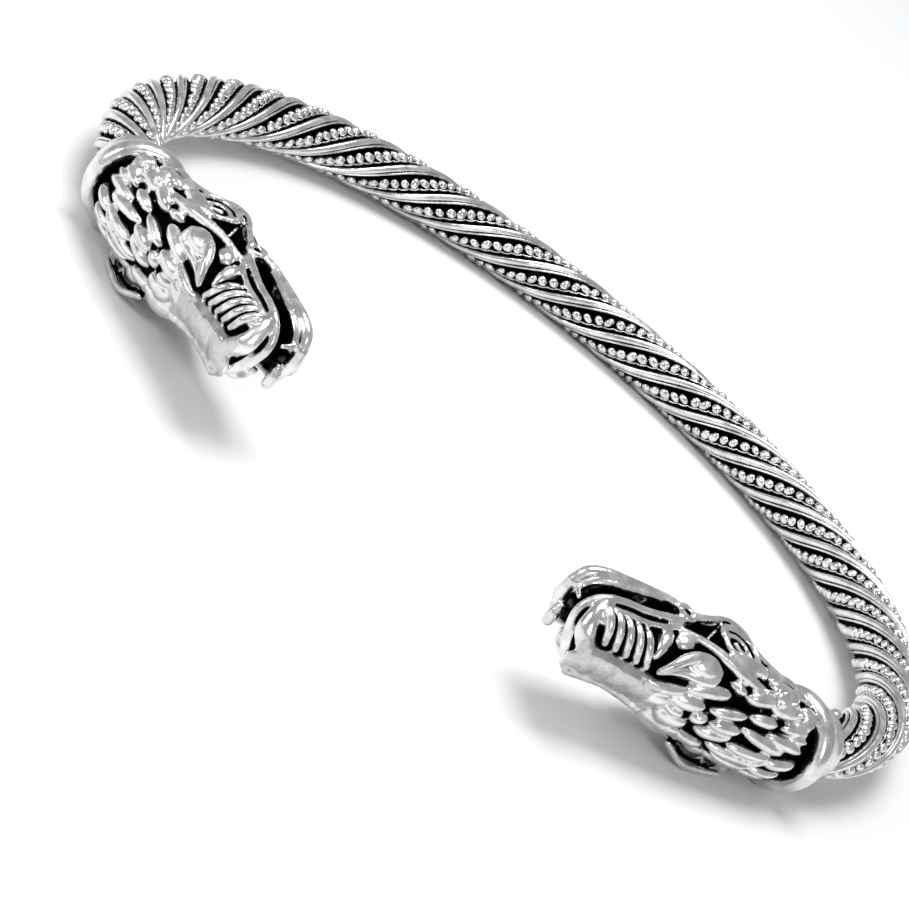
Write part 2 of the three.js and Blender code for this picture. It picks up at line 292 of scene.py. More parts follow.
# %% [markdown]
# ## The core
# Between the strands one looks down on a blackened core. A plain cylinder with enough
# rings to follow the bend is all that shows of it.

# %% Core of the rod
CORE_RINGS = 150
nothing_selected()
bpy.ops.mesh.primitive_cylinder_add(vertices=24, radius=CORE_RADIUS, depth=2 * ROD_HALF_LENGTH,
                                    rotation=(0, math.pi / 2, 0))
core = bpy.context.object
core.name = "hoop_core"
bpy.ops.object.transform_apply(location=False, rotation=True, scale=True)
bpy.ops.object.mode_set(mode="EDIT")
for ring in range(1, CORE_RINGS):
    bpy.ops.mesh.select_all(action="SELECT")
    bpy.ops.mesh.bisect(plane_co=(-ROD_HALF_LENGTH + ring * 2 * ROD_HALF_LENGTH / CORE_RINGS, 0, 0),
                        plane_no=(1, 0, 0))
bpy.ops.object.mode_set(mode="OBJECT")
set_round_hoop(core)
hoop_pieces.append(core)
print("core faces:", len(core.data.polygons))

# %% [markdown]
# ## Beads on the strands
# Every second strand is a row of small cast beads, each with a scalloped foot on one
# side. There are about 800, so one bead of few faces is modelled and copied along the
# strand.

# %% One bead and its foot
BEAD_PITCH = 1.03
BEAD_HALF = (0.52, 0.47, 0.34)
BEAD_SLANT = 0.12
BEAD_RADIUS = 2.24
FOOT_LENGTH = 1.07
FOOT_RADIUS = 2.3
nothing_selected()
bpy.ops.mesh.primitive_uv_sphere_add(segments=8, ring_count=6, radius=1.0)
bead = bpy.context.object
bpy.ops.object.mode_set(mode="EDIT")
bpy.ops.mesh.select_all(action="SELECT")
bpy.ops.transform.resize(value=BEAD_HALF)
bpy.ops.object.mode_set(mode="OBJECT")
bead_points = corners(bead.data)
bead_points[:, 0] += BEAD_SLANT * bead_points[:, 1]
bead_faces = [list(face.vertices) for face in bead.data.polygons]
bpy.data.objects.remove(bead)

FOOT_STOPS = 5
foot_points = []
for stop in range(FOOT_STOPS):
    share = stop / (FOOT_STOPS - 1)
    lie = (share - 0.5) * FOOT_LENGTH
    bow = 0.46 + 0.1 * math.sin(math.pi * share)
    for wide, high in ((-0.055, -0.16), (0.06, -0.12), (0.05, 0.03), (-0.045, 0.03)):
        foot_points.append((lie, bow + wide, high))
foot_points = np.array(foot_points)
foot_faces = []
for stop in range(FOOT_STOPS - 1):
    for k in range(4):
        a, b = 4 * stop + k, 4 * stop + (k + 1) % 4
        foot_faces.append([a, b, b + 4, a + 4])
foot_faces.append([3, 2, 1, 0])
foot_faces.append([4 * (FOOT_STOPS - 1) + k for k in range(4)])
print("faces of a bead:", len(bead_faces), "and of its foot:", len(foot_faces))


# %% Rows of beads
# How far one bead may differ from the next, as shares of its size
UNEVEN_FLAT = 0.12
UNEVEN_TALL = 0.15
UNEVEN_SKEW = 0.25
UNEVEN_SLIP = 0.07


def row_of(name, points, faces, share, radius, rng, uneven):
    """Copies of one small shape along a strand, each a little different."""
    wire_length = 2 * ROD_HALF_LENGTH / math.cos(helix_angle)
    count = int(wire_length / BEAD_PITCH)
    all_points, all_faces = [], []
    for i in range(count):
        s = -ROD_HALF_LENGTH + (i + 0.5) * 2 * ROD_HALF_LENGTH / count
        long, wide, tall, slip, skew = rng.uniform(-1, 1, 5) * uneven
        lean = UNEVEN_SKEW * skew
        along_wire = points[:, 0] * (1 + UNEVEN_FLAT * long) + lean * points[:, 1] + UNEVEN_SLIP * slip
        across = points[:, 1] * (1 + UNEVEN_FLAT * wide) + lean * points[:, 0]
        high = points[:, 2] * (1 + UNEVEN_TALL * tall)
        # Along the wire the rod's length grows and the angle falls. Across the wire both grow
        x = s + along_wire * math.cos(helix_angle) + across * math.sin(helix_angle)
        turn = strand_angle(share, s) + (across * math.cos(helix_angle)
                                         - along_wire * math.sin(helix_angle)) / radius
        radial = radius + high
        all_points.append(np.stack([x, radial * np.cos(turn), radial * np.sin(turn)], -1))
        base = i * len(points)
        all_faces += [[base + k for k in face] for face in faces]
    row = mesh_from(name, np.concatenate(all_points), all_faces)
    pick([row])
    bpy.ops.object.mode_set(mode="EDIT")
    bpy.ops.mesh.select_all(action="SELECT")
    bpy.ops.mesh.normals_make_consistent(inside=False)
    bpy.ops.object.mode_set(mode="OBJECT")
    set_round_hoop(row)
    return row


rng = np.random.default_rng(7)
for pair in range(STRAND_PAIRS):
    share = pair + BEAD_SHARE
    hoop_pieces.append(row_of(f"bead_row_{pair + 1}", bead_points, bead_faces, share, BEAD_RADIUS, rng, 1))
    hoop_pieces.append(row_of(f"bead_feet_{pair + 1}", foot_points, foot_faces, share, FOOT_RADIUS, rng, 0))
for piece in hoop_pieces:
    pick([piece])
    bpy.ops.object.shade_smooth()
print("bead rows ready")

# %% [markdown]
# ## Cups at the rod's ends
# A smooth flared cup covers each end of the rod, and the dragon's neck sits in it with a
# dark gap all round. A turned shape is a profile spun about an axis, so half its outline
# is extruded point by point and spun once round.

# %% Spin a cup
COLLAR_LENGTH = 3.7
JOINT_GAP = 0.3
CUP_PROFILE = [
    # along the rod from the cup's base, radius, relief
    (-0.36, 2.2, 0.6), (-0.34, 2.66, 0.8), (-0.1, 2.8, 1), (0.4, 2.84, 1), (0.95, 2.92, 1),
    (1.5, 3.1, 1), (1.95, 3.36, 1), (2.35, 3.62, 1), (2.75, 3.8, 1), (3.1, 3.89, 1), (3.5, 3.9, 1),
    (3.82, 3.84, 1), (4.06, 3.7, 1), (4.18, 3.48, 1), (4.18, 3.2, 1), (4.1, 2.94, 1), (3.94, 2.76, 0.7),
    (3.6, 2.68, 0.0), (3.0, 2.72, 0.0), (2.4, 2.72, 0.0), (1.8, 2.7, 0.0), (1.8, 1.4, 0.0),
]
end_at, end_tangent, end_out = along(ROD_HALF_LENGTH)
cup_base = end_at + end_tangent * JOINT_GAP
rim_centre = cup_base + end_tangent * COLLAR_LENGTH


def spun_cup():
    nothing_selected()
    bpy.ops.mesh.primitive_plane_add(size=1)
    cup = bpy.context.object
    bpy.ops.object.mode_set(mode="EDIT")
    bpy.ops.mesh.select_all(action="SELECT")
    bpy.ops.mesh.merge(type="CENTER")
    bpy.ops.transform.translate(value=(CUP_PROFILE[0][0], CUP_PROFILE[0][1], 0))
    for before, after in zip(CUP_PROFILE, CUP_PROFILE[1:]):
        bpy.ops.mesh.extrude_region_move(
            TRANSFORM_OT_translate={"value": (after[0] - before[0], after[1] - before[1], 0)})
    bpy.ops.mesh.select_all(action="SELECT")
    bpy.ops.mesh.spin(steps=72, angle=2 * math.pi, center=(0, 0, 0), axis=(1, 0, 0))
    bpy.ops.mesh.select_all(action="SELECT")
    bpy.ops.mesh.remove_doubles(threshold=1e-4)
    bpy.ops.mesh.select_all(action="DESELECT")
    bpy.ops.mesh.select_mode(type="EDGE")
    bpy.ops.mesh.select_non_manifold(extend=False)
    bpy.ops.mesh.edge_face_add()
    bpy.ops.mesh.select_all(action="SELECT")
    bpy.ops.mesh.normals_make_consistent(inside=False)
    bpy.ops.mesh.select_mode(type="VERT")
    bpy.ops.object.mode_set(mode="OBJECT")
    return cup


cup = spun_cup()
turned = corners(cup.data)
profile = np.array(CUP_PROFILE)
radius = np.hypot(turned[:, 1], turned[:, 2])
gaps = np.hypot(turned[:, 0:1] - profile[:, 0], radius[:, None] - profile[:, 1])
write_attribute(cup.data, "relief", profile[np.argmin(gaps, axis=1), 2])
# A cast cup is never quite round: its rim is a little wavy
bearing = np.arctan2(turned[:, 2], turned[:, 1])
flare = np.clip((turned[:, 0] - 1.0) / 2.7, 0, 1)
swell = 1 + flare * (0.006 * np.sin(3 * bearing + 0.6) + 0.003 * np.sin(7 * bearing) - 0.005)
turned[:, 1:] *= swell[:, None]
turned[:, 0] += flare * 0.07 * np.sin(4 * bearing + 1.0)
end_frame = np.array([end_tangent, end_out, (0, 0, 1.0)])
move_corners(cup.data, cup_base + turned @ end_frame)
pick([cup])
bpy.ops.object.shade_smooth()
print("cup faces:", len(cup.data.polygons))

# %% [markdown]
# ## A dragon's head
# The head is cast, so everything on it flows together. It is easiest to build from clay-like
# lumps: a skull, laid-on tufts, ridges and drawn wires. A voxel Remesh melts them into one
# skin, and a light smoothing takes the steps off. One unit here is the rod's thickness.
# Forward is X, the crown is Y, and the flank that faces up is Z.

# %% Skull
HEAD_UNIT = ROD_THICKNESS
SKULL = np.array([
    # x, middle height, half width, half height
    (-0.3, 0.0, 0.46, 0.46), (0.02, 0.0, 0.49, 0.49), (0.3, 0.01, 0.54, 0.54), (0.8, 0.03, 0.57, 0.56),
    (1.3, 0.04, 0.58, 0.55), (1.8, 0.05, 0.57, 0.52), (2.3, 0.08, 0.54, 0.45), (2.75, 0.13, 0.46, 0.36),
    (3.2, 0.18, 0.4, 0.27), (3.65, 0.2, 0.38, 0.23), (4.0, 0.2, 0.38, 0.23), (4.3, 0.2, 0.38, 0.22),
    (4.5, 0.18, 0.3, 0.16),
])


def skull_lump():
    """A disc extruded forward, moved and resized at each station."""
    nothing_selected()
    x, y, wide, high = SKULL[0]
    bpy.ops.mesh.primitive_circle_add(vertices=40, radius=1.0, fill_type="NGON", location=(x, y, 0),
                                      rotation=(0, math.pi / 2, 0))
    skull = bpy.context.object
    bpy.ops.object.transform_apply(location=True, rotation=True, scale=True)
    bpy.ops.object.mode_set(mode="EDIT")
    bpy.ops.mesh.select_all(action="SELECT")
    bpy.ops.transform.resize(value=(1, high, wide), center_override=(x, y, 0))
    for before, after in zip(SKULL, SKULL[1:]):
        bpy.ops.mesh.extrude_region_move(
            TRANSFORM_OT_translate={"value": (after[0] - before[0], after[1] - before[1], 0)})
        bpy.ops.transform.resize(value=(1, after[3] / before[3], after[2] / before[2]),
                                 center_override=(after[0], after[1], 0))
    bpy.ops.mesh.select_all(action="SELECT")
    bpy.ops.mesh.normals_make_consistent(inside=False)
    bpy.ops.object.mode_set(mode="OBJECT")
    return skull


def on_skull(x, angle, lift):
    """Points on the skull at angles from the crown towards the upper flank, raised by lift."""
    middle, wide, high = (np.interp(x, SKULL[:, 0], SKULL[:, k]) for k in (1, 2, 3))
    out_y, out_z = np.cos(angle) / high, np.sin(angle) / wide
    size = np.hypot(out_y, out_z)
    return np.stack([x, middle + high * np.cos(angle) + lift * out_y / size,
                     wide * np.sin(angle) + lift * out_z / size], -1)


skull = skull_lump()
print("skull is", round(float(SKULL[-1, 0] - SKULL[0, 0]), 2), "rod widths long")

# %% [markdown]
# ## Lumps and drawn wires
# Two more ways to add clay: an egg-shaped lump turned to a direction, and a wire drawn
# through a few points. The wire is a Bezier curve with its own radius at each point,
# which Blender turns into a mesh.

# %% Lump and wire
def lump(at, half, aim=(1, 0, 0), up=(0, 1, 0)):
    """An egg of these half sizes: along aim, along up, and across."""
    x = Vector(aim).normalized()
    z = x.cross(Vector(up)).normalized()
    y = z.cross(x)
    turn = Matrix((x, y, z)).transposed()
    nothing_selected()
    bpy.ops.mesh.primitive_uv_sphere_add(segments=20, ring_count=12, radius=1.0, location=at,
                                         rotation=turn.to_euler(), scale=half)
    bpy.ops.object.transform_apply(location=True, rotation=True, scale=True)
    return bpy.context.object


def drawn_wire(stops, fine=8):
    """A round wire through stops of x, y, z and radius."""
    nothing_selected()
    bpy.ops.curve.primitive_bezier_curve_add()
    wire = bpy.context.object
    wire.data.dimensions = "3D"
    spline = wire.data.splines[0]
    spline.bezier_points.add(len(stops) - 2)
    for point, (x, y, z, radius) in zip(spline.bezier_points, stops):
        point.co = (x, y, z)
        point.radius = radius
        point.handle_left_type = point.handle_right_type = "AUTO"
    wire.data.bevel_depth = 1.0
    wire.data.bevel_resolution = 3
    wire.data.resolution_u = fine
    wire.data.use_fill_caps = True
    bpy.ops.object.convert(target="MESH")
    wire = bpy.context.object
    balls = [lump(stop[:3], (stop[3],) * 3) for stop in (stops[0], stops[-1])]
    return joined([wire, *balls], "wire")


def skull_wire(stops, fine=6):
    """A wire laid on the skull through stops of x, degrees from the crown, lift and radius."""
    laid = [(*on_skull(x, math.radians(degrees), lift), radius) for x, degrees, lift, radius in stops]
    return drawn_wire(laid, fine)


print("clay tools ready")

# %% [markdown]
# ## Tufts of hair
# The neck is covered with raised, leaf-shaped tufts. One leaf is modelled from a sphere,
# with both ends drawn out and the top kept full. Each copy is then laid on the
# skull between two places, so that it bends with the surface.

# %% One leaf
nothing_selected()
bpy.ops.mesh.primitive_uv_sphere_add(segments=16, ring_count=14, radius=1.0, rotation=(0, math.pi / 2, 0))
leaf = bpy.context.object
bpy.ops.object.transform_apply(location=False, rotation=True, scale=True)
leaf_points = corners(leaf.data)
leaf_faces = [list(face.vertices) for face in leaf.data.polygons]
fullness = (1 - np.abs(leaf_points[:, 0]) ** 2.6) ** 0.55
round_part = np.sqrt(np.maximum(1 - leaf_points[:, 0] ** 2, 1e-9))
leaf_points[:, 1] *= fullness / np.maximum(round_part, 0.05)
leaf_points[:, 2] *= fullness / np.maximum(round_part, 0.05)
leaf_points[:, 2] = np.sign(leaf_points[:, 2]) * np.abs(leaf_points[:, 2]) ** 0.65
bpy.data.objects.remove(leaf)
print("leaf faces:", len(leaf_faces))


# %% Lay a leaf on the skull
def laid_leaf(front, rear, wide, high, lift=0.02, bow=0.0, front_share=1.0, rear_share=1.0):
    """front and rear are (x, degrees from the crown). The shares narrow one end."""
    length = front[0] - rear[0]
    share = (leaf_points[:, 0] + 1) / 2
    x = rear[0] + length * share
    degrees = rear[1] + (front[1] - rear[1]) * share
    end = rear_share + (front_share - rear_share) * share
    reach = np.interp(x, SKULL[:, 0], (SKULL[:, 2] + SKULL[:, 3]) / 2) + 0.05
    across = leaf_points[:, 1] * wide / 2 * end + bow * (1 - leaf_points[:, 0] ** 2)
    slope = math.radians(front[1] - rear[1]) * float(np.mean(reach)) / length
    lean = math.hypot(1, slope)
    x = x - across * slope / lean
    angle = np.radians(degrees) + across / lean / reach
    raised = lift + leaf_points[:, 2] * high * (0.6 + 0.4 * end)
    return mesh_from("leaf", on_skull(x, angle, raised), leaf_faces)


# %% Lay the tufts
TUFTS = [
    # front x and degrees, rear x and degrees, width
    (2.8, 6, 2.23, 18, 0.22), (3.15, -15, 2.75, -2, 0.25), (2.19, 18, 1.51, 35, 0.16),
    (1.5, 37, 0.93, 43, 0.19), (2.34, -4, 2.08, 8, 0.17), (2.7, -38, 2.18, -18, 0.26),
    (2.02, 4, 1.45, 15, 0.19), (2.08, -16, 1.48, 3, 0.19), (2.5, -44, 2, -40, 0.14),
    (2.28, -72, 1.81, -66, 0.17), (2.16, -44, 1.5, -43, 0.19), (1.49, 19, 0.49, 15, 0.19),
    (1.07, 28, 0.15, 28, 0.17), (0.88, 43, 0.23, 52, 0.15), (0.63, 38, 0.2, 42, 0.11),
    (1.64, -30, 0.55, -9, 0.17), (1.46, -10, 0.59, 3, 0.16), (0.66, -7, 0.1, 10, 0.19),
    (1.31, -60, 0.85, -55, 0.16), (0.7, -30, 0.1, -15, 0.15), (2.75, -10, 2.4, -8, 0.15),
    (1.85, -60, 1.32, -58, 0.16), (1.35, -43, 0.6, -30, 0.15), (0.75, -50, 0.1, -34, 0.16),
    (0.5, 62, 0.1, 66, 0.13), (0.5, -58, 0.1, -46, 0.14),
]
TUFT_FULLNESS = 1.16
HIDDEN_ROWS = [
    # x, half length, width, degrees
    (0.3, 0.28, 0.17, (-172, -150, -128, -106, -84, 128, 150)),
    (0.85, 0.3, 0.18, (-160, -138, -116, -94, 116, 138, 160, 180)),
    (1.4, 0.3, 0.17, (-172, -150, -128, 150)),
    (1.95, 0.28, 0.17, (-160, -180, 160)),
    (2.5, 0.3, 0.17, (150, 172)),
    (2.9, 0.26, 0.15, (158, 180)),
]
# A thin strand stands off the far side of the neck, with a broad lock of hair in front of it
SIDE_STRAND = [(1.86, -62, 0.24, 0.05), (1.5, -58, 0.38, 0.052), (1.15, -57, 0.34, 0.055),
               (0.82, -57, 0.28, 0.05)]
leaves = []
for front_x, front_angle, rear_x, rear_angle, wide in TUFTS:
    leaves.append(laid_leaf((front_x, front_angle), (rear_x, rear_angle), wide * TUFT_FULLNESS, 0.2,
                            lift=-0.02, front_share=0.95, rear_share=0.8))
for x, half, wide, angles in HIDDEN_ROWS:
    for angle in angles:
        leaves.append(laid_leaf((x + half, angle - 4), (x - half, angle + 4), wide, 0.15,
                                front_share=0.9, rear_share=0.75))
leaves.append(skull_wire(SIDE_STRAND))
leaves.append(laid_leaf((2.82, -64), (2.0, -54), 0.44, 0.26, lift=-0.02, front_share=0.9))
print("tufts:", len(leaves))


# %% [markdown]
# ## One flank of the head
# The eye is a long drop, round behind and drawn out in front. Beside it run wavy strands.
# Ribs wrap the muzzle between the bridge of the nose and the lip, and a curl like a small
# shell sits behind the hinge of the jaw. All of it is modelled on the upper flank only,
# because the far one follows from it.

# %% Eye and strands
EYE_RIMS = [
    # the rim towards the jaw, then the rim towards the crown, both from the front backwards
    [(3.3, 33, 0.1, 0.045), (3.17, 52, 0.13, 0.065), (3.02, 66, 0.15, 0.085), (2.77, 76, 0.16, 0.085),
     (2.54, 73, 0.17, 0.075), (2.42, 64, 0.17, 0.06)],
    [(3.3, 31, 0.1, 0.04), (2.96, 46, 0.12, 0.045), (2.63, 47, 0.13, 0.045), (2.42, 53, 0.15, 0.05),
     (2.4, 64, 0.16, 0.05)],
]
LONG_KNOB = [(3.2, 0.02, 0.47, 0.09), (3.3, 0.13, 0.46, 0.115), (3.37, 0.26, 0.41, 0.09),
             (3.42, 0.36, 0.33, 0.05)]
upper_flank = [
    laid_leaf((3.2, 40), (2.42, 64), 0.36, 0.09, front_share=0.3),
    laid_leaf((2.86, 66), (2.36, 66), 0.34, 0.23, front_share=0.6),
]
upper_flank += [skull_wire(rim) for rim in EYE_RIMS]
upper_flank.append(laid_leaf((3.37, 5), (2.66, 28), 0.19, 0.19, lift=-0.01, bow=-0.02, rear_share=0.85))
upper_flank.append(laid_leaf((2.74, 29), (1.96, 46), 0.28, 0.2, lift=-0.01, bow=0.02,
                             front_share=0.8, rear_share=0.8))
upper_flank.append(lump((2.9, 0.03, 0.5), (0.19, 0.15, 0.12), aim=(1, 0.5, -0.2)))
upper_flank.append(drawn_wire(LONG_KNOB, fine=6))
print("pieces of the eye and strands:", len(upper_flank))

# %% Cheek
CHEEK = [
    # front x and degrees, rear x and degrees, width, height
    (2.0, 60, 1.74, 56, 0.14, 0.15), (1.72, 55, 1.1, 66, 0.24, 0.2), (1.3, 64, 0.5, 70, 0.36, 0.2),
    (1.25, 88, 0.5, 86, 0.24, 0.19), (0.66, 56, 0.2, 60, 0.14, 0.16), (0.5, 78, 0.0, 76, 0.2, 0.16),
    (2.15, 90, 1.3, 92, 0.26, 0.26), (0.95, 112, 0.3, 116, 0.2, 0.18), (1.2, 62, 1.0, 67, 0.1, 0.25),
    (0.95, 68, 0.7, 72, 0.1, 0.25), (1.15, 76, 0.85, 78, 0.1, 0.24), (0.75, 62, 0.55, 64, 0.08, 0.25),
    (1.55, 66, 1.3, 70, 0.1, 0.24), (2.05, 64, 1.8, 60, 0.16, 0.08), (1.35, 106, 0.85, 104, 0.2, 0.18),
    (0.3, 100, -0.1, 100, 0.18, 0.15), (0.75, 96, 0.25, 96, 0.14, 0.17),
]
# A bright strap runs from beside the eye, under the curl, to the cheek
STRAP = [(2.96, -0.12, 0.56, 0.06), (2.6, -0.02, 0.64, 0.07), (2.3, 0.1, 0.68, 0.08),
         (2.0, 0.22, 0.69, 0.085), (1.65, 0.27, 0.67, 0.08), (1.35, 0.29, 0.63, 0.06)]
lower_flank = []
for front_x, front_angle, rear_x, rear_angle, wide, high in CHEEK:
    lower_flank.append(laid_leaf((front_x, front_angle), (rear_x, rear_angle), wide, high, rear_share=0.85))
lower_flank.append(drawn_wire(STRAP))
print("pieces of the cheek:", len(lower_flank))

# %% Ribs and nostril
RIB_COUNT = 5
REAR_RIB = 3.62
RIBS_LENGTH = 0.8
for rib in range(RIB_COUNT):
    grow = rib / (RIB_COUNT - 1)
    x = REAR_RIB + RIBS_LENGTH * grow
    upper_flank.append(drawn_wire([
        (x + 0.02, 0.04 + 0.03 * grow, 0.4, 0.038),
        (x + 0.03, 0.17, 0.45, 0.06),
        (x - 0.01, 0.34, 0.38, 0.071),
        (x - 0.14 + 0.05 * grow, 0.455, 0.19, 0.055),
    ], fine=5))
NOSTRIL = [(4.44, 0.03, 0.43, 0.06), (4.52, 0.12, 0.36, 0.09), (4.56, 0.22, 0.25, 0.125),
           (4.56, 0.33, 0.11, 0.145), (4.46, 0.42, 0.0, 0.13)]
upper_flank.append(drawn_wire(NOSTRIL, fine=6))
print("ribs:", RIB_COUNT)

# %% Hinge and curl
CURL_RISE = 0.765
CURL = [
    # x, y, radius of the wire, from the outside of the curl inwards
    (2.26, -0.22, 0.05), (2.2, -0.36, 0.055), (2.02, -0.45, 0.055), (1.8, -0.45, 0.055),
    (1.6, -0.34, 0.055), (1.55, -0.17, 0.055), (1.65, -0.02, 0.055), (1.85, 0.05, 0.055),
    (2.07, 0.04, 0.055), (2.22, -0.05, 0.05), (2.2, -0.2, 0.045), (2.06, -0.3, 0.04),
    (1.87, -0.3, 0.04), (1.77, -0.2, 0.038), (1.82, -0.1, 0.038), (1.95, -0.08, 0.038),
    (2.02, -0.17, 0.045),
]
LIP_LINE = [(2.95, -0.18, 0.56, 0.05), (3.25, -0.06, 0.54, 0.045), (3.7, 0.045, 0.5, 0.045),
            (4.15, 0.06, 0.45, 0.05), (4.42, 0.08, 0.38, 0.05), (4.56, 0.14, 0.25, 0.045)]
# The hinge is a small ring with a dark hole
HINGE_RING = [(3.02, -0.37, 0.67, 0.045), (2.88, -0.27, 0.67, 0.05), (2.74, -0.38, 0.67, 0.045),
              (2.86, -0.5, 0.67, 0.045), (3.02, -0.37, 0.67, 0.045)]
# A band runs from the hinge over the curl, with a fine bar between them
BAND = [(2.78, -0.34, 0.69, 0.06), (2.6, -0.38, 0.725, 0.055), (2.38, -0.46, 0.74, 0.05),
        (2.15, -0.56, 0.752, 0.045), (1.93, -0.6, 0.76, 0.045), (1.68, -0.55, 0.755, 0.045),
        (1.5, -0.38, 0.735, 0.045)]
FINE_BAR = [(2.52, -0.12, 0.66, 0.026), (2.34, -0.3, 0.72, 0.026)]
THROAT_LINE = [(1.55, -0.4, 0.73, 0.05), (1.1, -0.36, 0.64, 0.055), (0.7, -0.36, 0.58, 0.05)]
lower_flank.append(drawn_wire(LIP_LINE))
lower_flank.append(drawn_wire(HINGE_RING, fine=6))
lower_flank.append(drawn_wire([(x, y, CURL_RISE, radius) for x, y, radius in CURL], fine=6))
lower_flank += [drawn_wire(stops) for stops in (BAND, FINE_BAR, THROAT_LINE)]
whole_upper = joined(upper_flank, "upper_flank")
whole_lower = joined(lower_flank, "lower_flank")
print("points of the upper flank:", len(whole_upper.data.vertices))

# %% [markdown]
# ## The far flank
# A Mirror modifier makes the far cheek, curl and hinge. The far eye and ribs sit a little
# lower than a true mirror image, and the far nostril is shorter, so they are a mirrored
# copy that is shortened in front and turned round the head's axis.

# %% Mirror the flank
FAR_TURN = math.radians(24)
FAR_AXIS_HEIGHT = 0.1
NOSTRIL_START = 4.25
FAR_NOSTRIL_SHARE = 0.3
far_points = corners(whole_upper.data) * (1, 1, -1)
past = np.maximum(far_points[:, 0] - NOSTRIL_START, 0)
far_points[:, 0] -= (1 - FAR_NOSTRIL_SHARE) * past
far_upper = mesh_from("far_upper", far_points,
                      [list(face.vertices)[::-1] for face in whole_upper.data.polygons])
pick([far_upper])
bpy.ops.object.mode_set(mode="EDIT")
bpy.ops.mesh.select_all(action="SELECT")
bpy.ops.transform.rotate(value=FAR_TURN, orient_axis="X", center_override=(0, FAR_AXIS_HEIGHT, 0))
bpy.ops.object.mode_set(mode="OBJECT")
finish_modifier(whole_lower, "MIRROR", use_axis=(False, False, True), use_mirror_merge=False)
print("far eye lies at", np.round(corners(far_upper.data).mean(axis=0), 2))

# %% [markdown]
# ## Mouth
# The upper lip runs from the hinge round the front of the snout and back. Below it the open
# jaw is one smooth bar with a fang at each front corner, and a dark hollow between.

# %% Lips and jaw
UPPER_LIP = [
    # x, y, z and radius, from the hinge round the front of the snout to its far side
    (2.92, -0.28, 0.62, 0.055), (3.2, -0.2, 0.6, 0.055), (3.7, -0.11, 0.54, 0.06),
    (4.15, -0.09, 0.49, 0.06), (4.4, -0.06, 0.42, 0.066), (4.56, -0.03, 0.28, 0.066),
    (4.61, 0.02, 0.12, 0.07), (4.56, 0.09, -0.06, 0.075), (4.47, 0.17, -0.22, 0.085),
    (4.38, 0.28, -0.33, 0.09), (4.32, 0.42, -0.38, 0.09),
]
FAR_LIP = [
    (4.36, 0.02, -0.32, 0.055), (4.1, -0.06, -0.45, 0.06), (3.7, -0.1, -0.53, 0.06),
    (3.2, -0.2, -0.6, 0.06), (2.86, -0.3, -0.62, 0.07),
]
LOWER_JAW = [
    (2.92, -0.46, 0.64, 0.055), (3.12, -0.52, 0.62, 0.06), (3.4, -0.56, 0.56, 0.066),
    (3.85, -0.58, 0.48, 0.08), (4.24, -0.575, 0.4, 0.092), (4.42, -0.57, 0.29, 0.096),
    (4.48, -0.55, 0.1, 0.096),
]
FAR_JAW = [
    (4.48, -0.55, 0.1, 0.096), (4.47, -0.5, -0.1, 0.096), (4.42, -0.44, -0.26, 0.09),
    (4.26, -0.46, -0.4, 0.088), (3.85, -0.53, -0.48, 0.088), (3.4, -0.51, -0.55, 0.088),
    (3.0, -0.45, -0.62, 0.085), (2.74, -0.38, -0.64, 0.08),
]
JAW_EDGE = [
    (3.25, -0.49, 0.58, 0.035), (3.55, -0.47, 0.53, 0.04), (3.85, -0.45, 0.47, 0.042),
    (4.2, -0.45, 0.38, 0.045), (4.36, -0.45, 0.26, 0.05), (4.4, -0.44, 0.08, 0.05),
]
FAR_FANG = [(4.46, -0.33, -0.2, 0.07), (4.46, -0.31, -0.33, 0.09), (4.45, -0.28, -0.44, 0.075)]
NEAR_FANG = [(4.43, -0.48, 0.16, 0.045), (4.49, -0.36, 0.14, 0.04), (4.54, -0.22, 0.15, 0.035)]
JAW_WIRES = (UPPER_LIP, FAR_LIP, LOWER_JAW, FAR_JAW, JAW_EDGE, FAR_FANG, NEAR_FANG)
mouth = [drawn_wire(stops) for stops in JAW_WIRES]
# The throat and the underside of the jaw are smooth plates
mouth.append(lump((2.78, -0.48, 0), (0.55, 0.1, 0.44), aim=(1, -0.15, 0)))
mouth.append(lump((3.2, -0.58, 0), (0.6, 0.06, 0.5)))
mouth.append(lump((3.6, -0.635, -0.02), (0.85, 0.05, 0.5)))
mouth.append(lump((4.12, -0.61, -0.01), (0.42, 0.06, 0.42)))

# %% Fill behind the mouth
# Plain lumps close the head behind the mouth, the nostril and the far side, and stay black
hollows = [
    lump((3.7, -0.16, 0), (0.75, 0.24, 0.4)),
    lump((3.0, -0.28, 0), (0.7, 0.24, 0.5)),
    lump((3.62, -0.57, -0.02), (0.85, 0.06, 0.5)),
    lump((3.08, -0.53, 0), (0.42, 0.07, 0.58)),
    lump((4.4, 0.16, -0.02), (0.14, 0.2, 0.34)),
    laid_leaf((1.9, -68), (0.7, -66), 0.2, 0.3),
]
CURL_HOLLOWS = [
    # x, y, z and half sizes, on both sides of the head
    ((2.2, -0.46, 0.57), (0.52, 0.18, 0.14)),
    ((2.4, -0.2, 0.42), (0.5, 0.22, 0.14)),
    ((1.93, -0.24, 0.6), (0.4, 0.28, 0.1)),
    ((2.86, -0.36, 0.53), (0.2, 0.17, 0.09)),
]
for side in (1, -1):
    hollows += [lump((x, y, z * side), half) for (x, y, z), half in CURL_HOLLOWS]
print("plain lumps:", len(hollows))

# %% [markdown]
# ## Bridge of the nose
# A smooth saddle widens from the brow to the tip, further out on the far side, between two
# raised edges. A row of flat lumps makes it, because they melt into one soft form.

